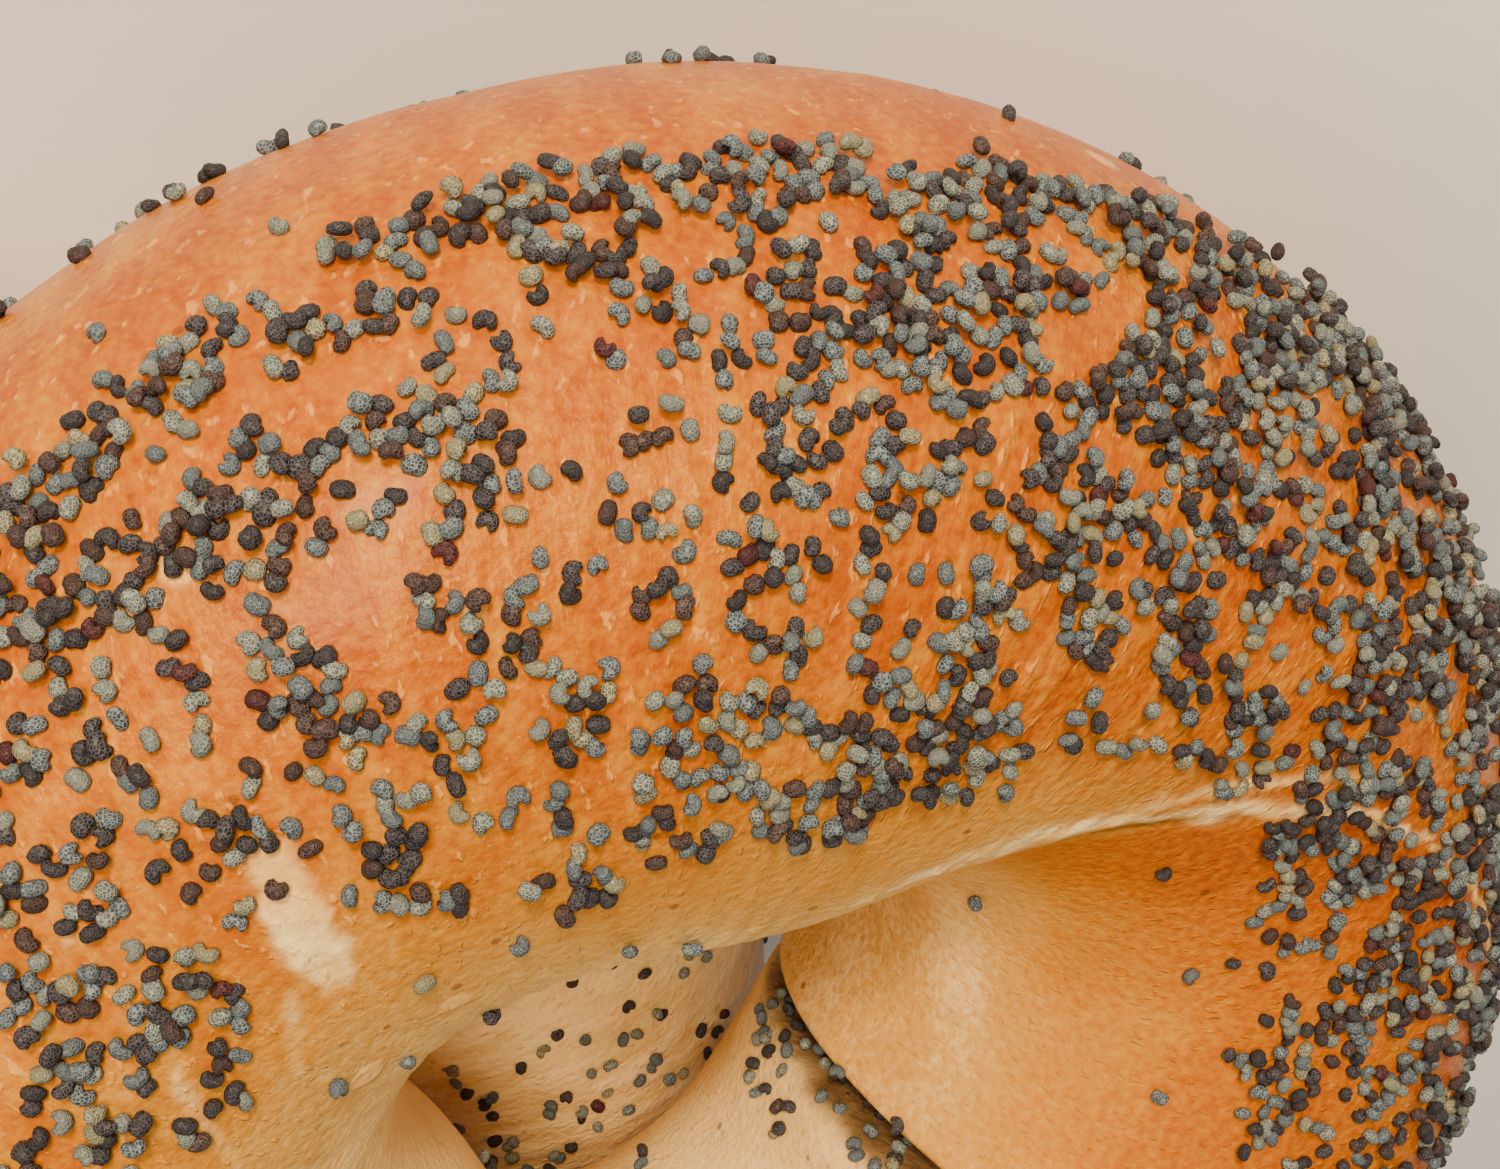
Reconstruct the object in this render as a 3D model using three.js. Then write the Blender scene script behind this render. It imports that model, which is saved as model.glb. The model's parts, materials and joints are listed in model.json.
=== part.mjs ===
// Two poppy seed bagels, one leaning on the other, as a three.js scene graph.
// Millimetres, +Z up. The pair stands on Z = 0 and its origin is the middle of its footprint.
// Each bagel is one rope of dough joined into a ring: a torus with three low lumps, a slanting
// crease where one rope end was lapped over the other, a fold inside the hole where the end of
// the lap was tucked in, and a flat baked base.
import * as THREE from 'three';
import { mergeVertices } from 'three/addons/utils/BufferGeometryUtils.js';

// Driving dimensions of one bagel.
const RING_RADIUS = 33.6;
const ROPE_RADIUS = 19.6;
const LUMP_HEIGHT = 1.25;
const LUMP_COUNT = 3;
const BASE_DEPTH = 18.2;

// Driving dimensions of the pair.
const LEAN = radians(38);
const LOWER_OFFSET = 60.75;

// The lapped seam: how deep the tucked end sits, how far the upper end bulges, and how wide each is.
const TUCK_DEPTH = 2.6;
const TUCK_WIDTH = 9;
const LAP_SWELL = 1.3;
const LAP_WIDTH = 14;
const LAP_EDGE = 2.4;
const SEAM_START = radians(140);

// How strongly the seam shows: fully at the hole's corner, and faintly towards the outside.
const SEAM_CORNER = radians(128);
const SEAM_NEAR = 0.75;
const SEAM_FAR = 1.9;
const SEAM_FAR_SHARE = 0.2;

// The fold where the tucked end meets the wall of the hole, and how far the wall sits under it.
const FOLD_DEPTH = 2;
const FOLD_WIDTH = 1.9;
const FOLD_FADE = 1.6;
const FOLD_STEP = 1.5;
const FOLD_TUCK = 7;

// Driving dimensions of one poppy seed.
const SEED_LENGTH = 0.95;
const SEED_WIDTH = 0.82;
const SEED_THICKNESS = 0.7;
const SEED_NOTCH = 0.3;
const SEED_GAP = 0.12;
const SEEDS_PER_BAGEL = 26;
const GOLDEN_TURN = 0.618034;
const SEED_TURNS = 5;
const SEEDS_LOWEST = radians(12);
const SEEDS_SPAN = radians(138);

// Facets round the ring and round the rope.
const RING_STEPS = 84;
const ROPE_STEPS = 26;
const SEED_SIDES = 8;
const SEED_RINGS = 5;

// How each bagel differs: where its first lump is, where its seam leaves the hole and how it slants,
// where its fold is, and where the row of single seeds starts. Angles round the ring are counted from
// its own +X, angles round the rope from its outer side upwards.
const UPPER = {
  name: 'upper',
  colour: 0xd98a3a,
  lumpAt: radians(94),
  seamAt: radians(74),
  seamSlant: 0.74,
  foldAt: radians(338),
  seedsFrom: radians(32),
};
const LOWER = {
  name: 'lower',
  colour: 0xe8c48c,
  lumpAt: radians(0),
  seamAt: radians(250),
  seamSlant: -0.6,
  foldAt: radians(325),
  seedsFrom: radians(40),
};

// Which way round the upper bagel lies in its own plane: the angle of the side that is lifted.
const LIFTED_SIDE = radians(228);

function radians(degrees) {
  return (degrees * Math.PI) / 180;
}

function crustMaterial(colour) {
  return new THREE.MeshStandardMaterial({ color: colour, roughness: 0.45, metalness: 0 });
}

function seedMaterial() {
  return new THREE.MeshStandardMaterial({ color: 0x4a4f5c, roughness: 0.7, metalness: 0 });
}

// Signed angle from one direction to another, between minus half a turn and half a turn.
function angleFrom(start, angle) {
  return Math.atan2(Math.sin(angle - start), Math.cos(angle - start));
}

// A bell that is 1 where there is no distance and fades over the width.
function bell(distance, width) {
  return Math.exp(-((distance / width) ** 2));
}

function seamFade(ropeAngle) {
  const away = angleFrom(SEAM_CORNER, ropeAngle);
  return (1 - SEAM_FAR_SHARE) * bell(away, SEAM_NEAR) + SEAM_FAR_SHARE * bell(away, SEAM_FAR);
}

// How far the lapped seam raises or lowers the crust: the end under the lap is tucked down, and the
// end over it swells before it drops to the crease.
function seamRelief(bagel, ringAngle, ropeAngle, reach) {
  const fade = seamFade(ropeAngle);
  const seamAngle = bagel.seamAt + bagel.seamSlant * angleFrom(SEAM_START, ropeAngle);
  const across = Math.sign(bagel.seamSlant) * angleFrom(seamAngle, ringAngle) * reach;
  if (across < 0) {
    return -TUCK_DEPTH * fade * Math.exp(across / TUCK_WIDTH);
  }
  const edge = Math.exp(-across / LAP_EDGE);
  const swell = LAP_SWELL * bell(across, LAP_WIDTH) * (1 - edge);
  return fade * (swell - TUCK_DEPTH * edge);
}

// How far the fold inside the hole lowers the crust.
function foldRelief(bagel, ringAngle, ropeAngle, reach) {
  const fade = Math.max(0, Math.cos(FOLD_FADE * angleFrom(Math.PI, ropeAngle)));
  const across = angleFrom(bagel.foldAt, ringAngle) * reach;
  const step = across < 0 ? FOLD_STEP * Math.exp(across / FOLD_TUCK) : 0;
  return -fade * (FOLD_DEPTH * bell(across, FOLD_WIDTH) + step);
}

// A point on the crust, in the bagel's own frame: the ring lies in XY with its top face up.
// Where the rope is lumpy its middle is drawn in by as much, so the outside stays round.
function crustPoint(bagel, ringAngle, ropeAngle) {
  const lump = LUMP_HEIGHT * Math.cos(LUMP_COUNT * (ringAngle - bagel.lumpAt));
  const ring = RING_RADIUS - lump;
  const plain = ROPE_RADIUS + lump;
  const reach = ring + plain * Math.cos(ropeAngle);
  const relief = seamRelief(bagel, ringAngle, ropeAngle, reach) + foldRelief(bagel, ringAngle, ropeAngle, reach);
  const rope = plain + relief;
  const out = ring + rope * Math.cos(ropeAngle);
  const height = Math.max(rope * Math.sin(ropeAngle), -BASE_DEPTH);
  return new THREE.Vector3(out * Math.cos(ringAngle), out * Math.sin(ringAngle), height);
}

// The crust as one closed grid of facets, wrapped both ways.
function crustGeometry(bagel) {
  const positions = [];
  const indices = [];
  for (let i = 0; i < RING_STEPS; i += 1) {
    for (let j = 0; j < ROPE_STEPS; j += 1) {
      const point = crustPoint(bagel, (2 * Math.PI * i) / RING_STEPS, (2 * Math.PI * j) / ROPE_STEPS);
      positions.push(point.x, point.y, point.z);
      const here = i * ROPE_STEPS + j;
      const above = i * ROPE_STEPS + ((j + 1) % ROPE_STEPS);
      const next = ((i + 1) % RING_STEPS) * ROPE_STEPS + j;
      const corner = ((i + 1) % RING_STEPS) * ROPE_STEPS + ((j + 1) % ROPE_STEPS);
      indices.push(here, next, corner, here, corner, above);
    }
  }
  const geometry = new THREE.BufferGeometry();
  geometry.setAttribute('position', new THREE.Float32BufferAttribute(positions, 3));
  geometry.setIndex(indices);
  return geometry;
}

// One seed: a rounded grain, longest along X, lying on Z, with the notch of a kidney in its -Y side.
function seedGeometry() {
  const grain = new THREE.SphereGeometry(1, SEED_SIDES, SEED_RINGS);
  grain.rotateX(Math.PI / 2);
  const place = grain.attributes.position;
  for (let i = 0; i < place.count; i += 1) {
    const x = place.getX(i);
    const y = place.getY(i);
    const notch = SEED_NOTCH * Math.max(0, -y) * Math.max(0, 1 - 2 * Math.abs(x));
    place.setXYZ(
      i,
      (x * SEED_LENGTH) / 2,
      ((y + notch) * SEED_WIDTH) / 2,
      (place.getZ(i) * SEED_THICKNESS) / 2,
    );
  }
  grain.deleteAttribute('normal');
  grain.deleteAttribute('uv');
  return mergeVertices(grain);
}

// A seed lying on the crust, turned in its own plane so that no two lie alike.
function seedOn(bagel, name, ringAngle, ropeAngle, turn) {
  const step = 0.02;
  const foot = crustPoint(bagel, ringAngle, ropeAngle);
  const along = crustPoint(bagel, ringAngle + step, ropeAngle).sub(foot).normalize();
  const around = crustPoint(bagel, ringAngle, ropeAngle + step).sub(foot).normalize();
  const outward = along.clone().cross(around).normalize();
  const sideways = outward.clone().cross(along).normalize();
  const seed = new THREE.Mesh(seedGeometry(), seedMaterial());
  seed.name = name;
  seed.quaternion.setFromRotationMatrix(new THREE.Matrix4().makeBasis(along, sideways, outward));
  seed.rotateZ(turn);
  seed.position.copy(foot).addScaledVector(outward, SEED_THICKNESS / 2 + SEED_GAP);
  return seed;
}

// A bagel with the single seeds that lie apart from the crowd, spread evenly over its top face.
function buildBagel(bagel) {
  const group = new THREE.Group();
  const crust = new THREE.Mesh(crustGeometry(bagel), crustMaterial(bagel.colour));
  crust.name = `${bagel.name}_bagel`;
  group.add(crust);
  for (let i = 1; i <= SEEDS_PER_BAGEL; i += 1) {
    const ringAngle = bagel.seedsFrom + 2 * Math.PI * i * GOLDEN_TURN;
    const ropeAngle = SEEDS_LOWEST + SEEDS_SPAN * ((i - 0.5) / SEEDS_PER_BAGEL);
    const number = String(i).padStart(2, '0');
    group.add(seedOn(bagel, `${bagel.name}_seed_${number}`, ringAngle, ropeAngle, SEED_TURNS * ringAngle));
  }
  return group;
}

// Moves a group so that its box is centred on X and Y where asked, and stands on Z = 0.
function standOnFloor(group, centred) {
  group.updateMatrixWorld(true);
  const box = new THREE.Box3().setFromObject(group, true);
  const middle = box.getCenter(new THREE.Vector3());
  group.position.z -= box.min.z;
  if (centred) {
    group.position.x -= middle.x;
    group.position.y -= middle.y;
  }
}

// The lower bagel lies flat on its base, on the lifted side of the upper one.
const lower = buildBagel(LOWER);
lower.position.x = LOWER_OFFSET;
standOnFloor(lower, false);

// The upper bagel is turned in its own plane, and then leaned back on to the lower one.
const turned = buildBagel(UPPER);
turned.rotation.z = -LIFTED_SIDE;
const upper = new THREE.Group();
upper.rotation.y = -LEAN;
upper.add(turned);
standOnFloor(upper, false);

const group = new THREE.Group();
group.add(lower, upper);
standOnFloor(group, true);

export default group;
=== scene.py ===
# %% [markdown]
# # Two poppy seed bagels
# A bagel is one rope of dough, lapped into a ring, boiled and baked. Here one bagel leans on
# another that lies flat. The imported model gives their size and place, and this lesson gives them
# their crust, their seam and some thirteen thousand poppy seeds. Everything is in metres, like the
# model, but the crust is worked out in millimetres, because that is how a baker would measure it.

# %% Load the frame
import json
import math

import bpy
import numpy as np
from mathutils import Matrix, Vector, noise
from mathutils.kdtree import KDTree

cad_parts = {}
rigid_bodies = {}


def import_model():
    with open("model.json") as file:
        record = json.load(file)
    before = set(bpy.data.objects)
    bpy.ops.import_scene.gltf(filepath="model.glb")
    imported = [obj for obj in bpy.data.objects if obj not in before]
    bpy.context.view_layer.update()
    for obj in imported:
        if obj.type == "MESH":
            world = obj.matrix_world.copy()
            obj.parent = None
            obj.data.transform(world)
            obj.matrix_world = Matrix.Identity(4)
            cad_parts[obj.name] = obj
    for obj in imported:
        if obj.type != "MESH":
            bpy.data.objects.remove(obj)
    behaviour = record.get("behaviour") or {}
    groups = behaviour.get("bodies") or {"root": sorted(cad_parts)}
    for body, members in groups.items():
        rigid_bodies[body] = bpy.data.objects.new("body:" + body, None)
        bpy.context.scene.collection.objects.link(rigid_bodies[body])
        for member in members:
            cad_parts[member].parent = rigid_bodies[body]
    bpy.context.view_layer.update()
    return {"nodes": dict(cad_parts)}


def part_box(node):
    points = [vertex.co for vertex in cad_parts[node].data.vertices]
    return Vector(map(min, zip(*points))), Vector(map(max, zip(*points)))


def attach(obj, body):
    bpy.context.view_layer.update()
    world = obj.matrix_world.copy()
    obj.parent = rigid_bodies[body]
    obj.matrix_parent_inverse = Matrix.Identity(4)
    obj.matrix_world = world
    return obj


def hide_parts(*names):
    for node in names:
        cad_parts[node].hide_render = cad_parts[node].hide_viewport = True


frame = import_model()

MM = 0.001
print("the packed model has", len(frame["nodes"]), "nodes")

# %% [markdown]
# ## Where the bagels lie
# The lying bagel's own frame is only moved. The leaning one is first turned in its own plane, and
# then tipped back. The same two angles were used for the solids. The fine crust made below has the
# same ring, rope and lumps as the solids, but creases of its own: they are sharper, and one has a
# torn ridge that the solids leave out. It is placed so that the middles of the two boxes agree.

# %% The two bagels' own frames
LEAN = math.radians(38)
LIFTED_SIDE = math.radians(228)

TURNS = {
    "lower": Matrix.Identity(3),
    "upper": Matrix.Rotation(-LEAN, 3, "Y") @ Matrix.Rotation(-LIFTED_SIDE, 3, "Z"),
}


def box_middle(node):
    """The middle of a CAD node's box, in metres."""
    low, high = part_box(node)
    return (low + high) / 2


print("upper bagel's middle", [round(c, 4) for c in box_middle("upper_bagel")])

# %% [markdown]
# ## The shape of the crust
# A bagel is nearly a torus, so each point of its crust has two angles: one round the ring, and one
# round the rope, counted from the outer side upwards. The rope has three low lumps, and its outside
# stays round. Two creases break it: the slanting seam where one end was lapped over the other, and
# the fold inside the hole where that end was tucked in. Plain functions of the two angles are the
# best way to say this, because the same formula gives the shape, the browning and the seeding.

# %% Sizes of one bagel
RING_RADIUS = 33.6
ROPE_RADIUS = 19.6
LUMP_HEIGHT = 1.25
LUMP_COUNT = 3
BASE_DEPTH = 18.2

TUCK_DEPTH = 2.6
TUCK_WIDTH = 9.0
LAP_SWELL = 0.3
LAP_WIDTH = 14.0
LAP_EDGE = 0.9
FOLD_DEPTH = 4.0
FOLD_WIDTH = 0.6
FOLD_STEP = 0.8
FOLD_TUCK = 7.0
FOLD_FADE = 1.6
TORN_RIDGE = 3.0
RIDGE_BEHIND_FOLD = 3.2
RIDGE_WIDTH = 2.6
RIDGE_PLACE = math.radians(143)
RIDGE_SPREAD = 0.45
SEAM_START = math.radians(140)
SEAM_CORNER = math.radians(150)
SEAM_NEAR = 0.42
SEAM_FAR = 1.9
SEAM_NEAR_SHARE = 0.93
SEAM_FAR_SHARE = 0.07


def degrees(*angles):
    """Angles in degrees, as radians."""
    return [math.radians(a) for a in angles]


class Bagel:
    """What differs from one bagel to the next, with angles in degrees."""

    def __init__(self, name, lump_at, seam_at, seam_slant, fold_at, noise_shift):
        self.name = name
        self.lump_at, self.seam_at, self.fold_at = degrees(lump_at, seam_at, fold_at)
        self.seam_slant = seam_slant
        self.noise_shift = Vector(noise_shift)
        self.node = name + "_bagel"


UPPER = Bagel("upper", 94, 74, 0.74, 338, (0, 0, 0))
LOWER = Bagel("lower", 0, 250, -0.6, 325, (31, 17, 53))

# %% Helpers for angles and masks


def angle_from(start, angle):
    """The signed angle from start to angle, within half a turn."""
    return np.arctan2(np.sin(angle - start), np.cos(angle - start))


def smooth_step(low, high, x):
    """0 below low, 1 above high, and smooth between."""
    t = np.clip((x - low) / (high - low), 0, 1)
    return t * t * (3 - 2 * t)


def bump(x, width):
    """A bell that is 1 at 0 and fades over width."""
    return np.exp(-((x / width) ** 2))


def grain_noise(points, size, octaves=3):
    """Fractal noise from about -1 to 1, with lumps of the given size in millimetres."""
    scaled = points / size
    return np.array([noise.fractal(Vector(p), 1.0, 2.0, octaves) for p in scaled])


# %% The crust as a formula


def lump(bagel, u):
    """How far the rope is thicker or thinner than usual, in millimetres."""
    return LUMP_HEIGHT * np.cos(LUMP_COUNT * (u - bagel.lump_at))


def reach(bagel, u, v):
    """Distance from the ring's axis, in millimetres, before the creases."""
    rise = lump(bagel, u)
    return RING_RADIUS - rise + (ROPE_RADIUS + rise) * np.cos(v)


def seam_distance(bagel, u, v):
    """Millimetres across the seam: below 0 on the tucked end, above 0 on the end that laps it."""
    seam_angle = bagel.seam_at + bagel.seam_slant * angle_from(SEAM_START, v)
    return math.copysign(1, bagel.seam_slant) * angle_from(seam_angle, u) * reach(bagel, u, v)


def seam_fade(v):
    """1 at the hole's corner of the seam, and less and less towards the outside."""
    away = angle_from(SEAM_CORNER, v)
    return bump(away, SEAM_NEAR) * SEAM_NEAR_SHARE + bump(away, SEAM_FAR) * SEAM_FAR_SHARE


def fold_distance(bagel, u, v):
    """Millimetres across the fold: below 0 on the tucked side."""
    return angle_from(bagel.fold_at, u) * reach(bagel, u, v)


def fold_fade(v):
    """1 in the middle of the hole's wall, and 0 outside it."""
    return np.clip(np.cos(FOLD_FADE * angle_from(math.pi, v)), 0, None)


def seam_relief(bagel, u, v):
    """The tucked end sinks towards the seam, and the end over it swells before it drops."""
    across = seam_distance(bagel, u, v)
    tucked = -TUCK_DEPTH * np.exp(np.minimum(across, 0) / TUCK_WIDTH)
    edge = np.exp(-np.maximum(across, 0) / LAP_EDGE)
    lapped = LAP_SWELL * bump(across, LAP_WIDTH) * (1 - edge) - TUCK_DEPTH * edge
    return seam_fade(v) * np.where(across < 0, tucked, lapped)


def fold_relief(bagel, u, v):
    """A narrow groove with a step under it, and a ridge of torn dough beside it."""
    across = fold_distance(bagel, u, v)
    under = smooth_step(0.35, -0.35, across) * np.exp(np.minimum(across, 0) / FOLD_TUCK)
    dip = fold_fade(v) * (FOLD_DEPTH * bump(across + 0.3, FOLD_WIDTH) + FOLD_STEP * under)
    ridge = TORN_RIDGE * bump(across + RIDGE_BEHIND_FOLD, RIDGE_WIDTH)
    return ridge * bump(angle_from(RIDGE_PLACE, v), RIDGE_SPREAD) - dip


def crust_points(bagel, u, v, relief):
    """Points of the crust in the bagel's own frame, in millimetres."""
    rise = lump(bagel, u)
    rope = ROPE_RADIUS + rise + relief
    out = RING_RADIUS - rise + rope * np.cos(v)
    height = np.maximum(rope * np.sin(v), -BASE_DEPTH)
    return np.stack([out * np.cos(u), out * np.sin(u), height], -1)


# %% [markdown]
# ## The crust's grid
# A grid wrapped both ways makes a closed skin with no poles. Its lines are gathered where the seam
# and the hole are, so that the creases are crisp and the whole skin still stays light.

# %% Make the grid
RING_CELLS = 480
ROPE_CELLS = 204
GATHER = 0.42
RING_GATHERED_AT = math.radians(60)
ROPE_GATHERED_AT = math.radians(105)


def gathered(count, centre):
    """Angles once round, closer together near centre."""
    s = np.arange(count + 1) * 2 * math.pi / count
    return s + centre + GATHER * np.sin(s + math.pi)


def grid_faces(rows, columns):
    """Quads of a grid that is closed both ways, as vertex numbers."""
    i, j = np.meshgrid(np.arange(rows), np.arange(columns), indexing="ij")
    ahead = (i + 1) % rows
    above = (j + 1) % columns
    corners = [i * columns + j, ahead * columns + j, ahead * columns + above, i * columns + above]
    return np.stack(corners, -1).reshape(-1, 4)


def grid_map(u, v):
    """The same quads' corners on a flat map of the dough, in centimetres."""
    ring = u * RING_RADIUS / 10
    rope = v * ROPE_RADIUS / 10
    a, b = np.meshgrid(ring[:-1], rope[:-1], indexing="ij")
    c, d = np.meshgrid(ring[1:], rope[1:], indexing="ij")
    corners = [np.stack(pair, -1) for pair in ((a, b), (c, b), (c, d), (a, d))]
    return np.stack(corners, -2).reshape(-1, 2)


# %% [markdown]
# ## What the dough did
# Masks say where the crust is browned, where pale torn dough shows, and where seeds were sprinkled.
# They are worked out from the angles and some noise, and stored on the mesh as attributes that
# materials and the seeding can read.

# %% Where the crust is browned


def kissing_side(u, v):
    """1 on the side of the lying bagel that faced the leaning one in the oven."""
    facing = bump(angle_from(math.pi, u), 1.1)
    return facing * smooth_step(-0.5, 0.1, np.sin(v + 0.4))


def browning(bagel, u, v, waves):
    """1 on the browned outside, 0 on the pale dough inside the hole, and lower on one side where light is
    painted as paler crust.
    """
    across = seam_distance(bagel, u, v)
    tucked = smooth_step(0.5, -3, across) * smooth_step(-50, -20, across)
    before_fold = smooth_step(-0.5, 0.5, fold_distance(bagel, u, v))
    tucked = tucked * np.where(fold_fade(v) > 0.02, before_fold, 1)
    holeness = (1 - np.cos(v)) / 2
    brown = 1 - smooth_step(0.42, 0.985, holeness + 0.06 * waves - 0.2 * tucked)
    # Painted light: the inner crust on one side is made paler, as if lit.
    painted_light_side = bump(angle_from(math.radians(152) + bagel.seam_at - UPPER.seam_at, u), 0.55)
    brown = brown - 0.3 * painted_light_side * smooth_step(0.6, 1.7, v % (2 * math.pi)) * brown
    base = bump(angle_from(math.radians(-100), v), 0.5)
    brown = brown * (1 - 0.25 * base)
    if bagel is LOWER:
        brown = brown * (1 - 0.97 * kissing_side(u, v))
    return brown


# %% Where torn dough shows
# Stretched patches: ring angle, rope angle, half sizes in degrees, slant, and how pale they are.
PATCHES = [
    (134.5, 86, 2.2, 12, 0.18, 0.8),
    (142, 99, 0.8, 8, 0.5, 0.3),
    (151, 97, 0.8, 10, 0.4, 0.35),
]


def torn_dough(bagel, u, v, waves, fine):
    """1 where pale, floury dough shows: along the seam, and on a few stretched patches."""
    across = seam_distance(bagel, u, v)
    place = np.degrees(angle_from(0, v))
    width = 0.3 + 1.7 * bump(place - 117, 8) + 0.6 * bump(place - 98, 12) + 0.3 * bump(place - 55, 20)
    width = width * (1 + 0.5 * waves)
    on_seam = smooth_step(25, 45, place) * smooth_step(142, 132, place)
    rolled_over = 0.27 * np.maximum(place - 108, 0)
    along_seam = bump(across - rolled_over - 0.6 * width + 1.0 * fine, width) * on_seam
    second = bump(across - 3.0 - 0.05 * (110 - place) + 0.8 * fine, 0.6) * bump(place - 98, 11)
    along_seam = np.maximum(along_seam, 0.8 * second)
    patches = np.zeros_like(u)
    for ring, rope, half_ring, half_rope, slant, strength in PATCHES:
        du = np.degrees(angle_from(math.radians(ring) + bagel.seam_at - UPPER.seam_at, u))
        dv = np.degrees(angle_from(math.radians(rope), v))
        du = du - slant * dv
        distance = np.sqrt((du / half_ring) ** 2 + (dv / half_rope) ** 2)
        patches = np.maximum(patches, strength * (1 - smooth_step(0.75, 1.1, distance + 0.3 * fine)))
    return np.clip(np.maximum(along_seam, patches), 0, 1)


# %% Where the skin is stretched or creased, and where shade is painted


def streaking(bagel, u, v):
    """1 where the skin was stretched along the rope's girth, 0 on the smooth tucked end and inside."""
    across = seam_distance(bagel, u, v)
    tucked = smooth_step(0.5, -1, across) * smooth_step(-60, -30, across)
    outside = smooth_step(0.75, 0.45, (1 - np.cos(v)) / 2)
    return outside * (1 - 0.85 * tucked * smooth_step(1.2, 1.6, v % (2 * math.pi)))


def creases(bagel, u, v, fine):
    """1 down in the fold and under the seam's lip, where shade is painted on the crust as dark colour."""
    fold = bump(fold_distance(bagel, u, v) + 0.8 + 0.4 * fine, 1.1) * smooth_step(0.15, 0.6, fold_fade(v))
    place = np.degrees(angle_from(0, v))
    lip = bump(seam_distance(bagel, u, v) + 0.35, 0.3)
    lip = lip * smooth_step(95, 112, place) * smooth_step(150, 135, place)
    return np.clip(fold + 0.8 * lip, 0, 1)


def beside_seam(bagel, u, v):
    """1 on the tucked end just below the seam, where the crust is coloured darker."""
    place = np.degrees(angle_from(0, v))
    near = bump(seam_distance(bagel, u, v) + 5, 6)
    return near * smooth_step(150, 120, place) * smooth_step(20, 60, place)


# %% Where seeds lie


def strings_and_blobs(strings, blobs):
    """Seeds settle in crooked strings and in blobs, with bare skin between them."""
    string = 1 - smooth_step(0.04, 0.26, np.abs(strings))
    blob = smooth_step(0.02, 0.26, blobs)
    return np.maximum(0.85 * string, blob)


def sprinkling(bagel, u, v, waves, strings, blobs):
    """How thickly the seeds lie, from 0 to 1."""
    on_lap = bump(angle_from(math.radians(15), u), 0.6)
    by_patch = bump(angle_from(math.radians(134), u), 0.16)
    outer = 19 + 3 * np.cos(5 * u) + 3 * waves - 26 * on_lap
    inner = 102 + 5 * np.cos(3 * u + 0.6) + 5 * waves - 22 * by_patch + 8 * on_lap
    place = np.degrees(angle_from(0, v))
    band = smooth_step(-1.5, 1.5, place - outer) * smooth_step(-3, 3, inner - place)
    rim = bump(place - outer - 7, 9)
    thick = 0.72 + 0.75 * rim + 0.6 * bump(angle_from(math.radians(40), u), 0.8)
    crowd = 0.07 + strings_and_blobs(strings, blobs) * thick
    below = smooth_step(0, 6, -10 - place) * smooth_step(0, 12, place + 66) * (0.04 + 0.5 * blobs)
    strays = 0.007 * smooth_step(0, 20, place + 60)
    from_fold = fold_distance(bagel, u, v)
    caught = 0.4 * bump(from_fold + 0.5, 0.7) * smooth_step(0.5, 0.9, fold_fade(v))
    behind_fold = smooth_step(0, -3, from_fold) * smooth_step(-30, -15, from_fold)
    inside = 0.45 * smooth_step(0.12, 0.3, blobs) * smooth_step(0.8, 0.95, -np.cos(v)) * behind_fold
    amount = np.clip(band * crowd + np.maximum(below, 0) + strays + caught + inside, 0, 1)
    if bagel is LOWER:
        amount = amount * (1 - 0.9 * kissing_side(u, v))
    return amount


# %% [markdown]
# ## Build a crust
# The big shape comes first, then the dough's own unevenness: slow swellings, the ragged lip of the
# seam, and fine wrinkles that run into the hole where the dough was stretched.

# %% The dough's unevenness
WAVE_SIZE = 9
FINE_SIZE = 1.6
STRING_SIZE = 5.2
BLOB_SIZE = 3.6


def fine_relief(bagel, u, v, points, torn):
    """The dough's unevenness, in millimetres."""
    slow = 0.3 * grain_noise(points, 17, 2)
    quick = 0.05 * grain_noise(points, 3.2, 3)
    holeness = smooth_step(0.55, 0.85, (1 - np.cos(v)) / 2)
    by_rim = bump(angle_from(math.radians(125) + bagel.seam_at - UPPER.seam_at, u), 0.5)
    wrinkles = 0.08 * holeness * by_rim * np.sin(84 * u + 9 * slow + 3 * np.sin(4 * v))
    ragged = 0.2 * torn * grain_noise(points, 0.9, 2)
    return slow + quick + wrinkles + ragged


# %% Helpers for the mesh


def mesh_from_grid(name, points, faces, flat_map):
    """A smooth mesh of quads with the flat map as its UVs."""
    mesh = bpy.data.meshes.new(name)
    mesh.from_pydata(points.tolist(), [], faces.tolist())
    mesh.polygons.foreach_set("use_smooth", np.ones(len(faces), bool))
    layer = mesh.uv_layers.new(name="dough_map")
    layer.data.foreach_set("uv", flat_map.ravel())
    return mesh


def add_mask(mesh, name, values):
    """Stores a number on every corner of the mesh, for materials and seeding to read."""
    layer = mesh.attributes.new(name, "FLOAT", "POINT")
    layer.data.foreach_set("value", values.astype(np.float32))


# %% Build the two crusts


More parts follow.
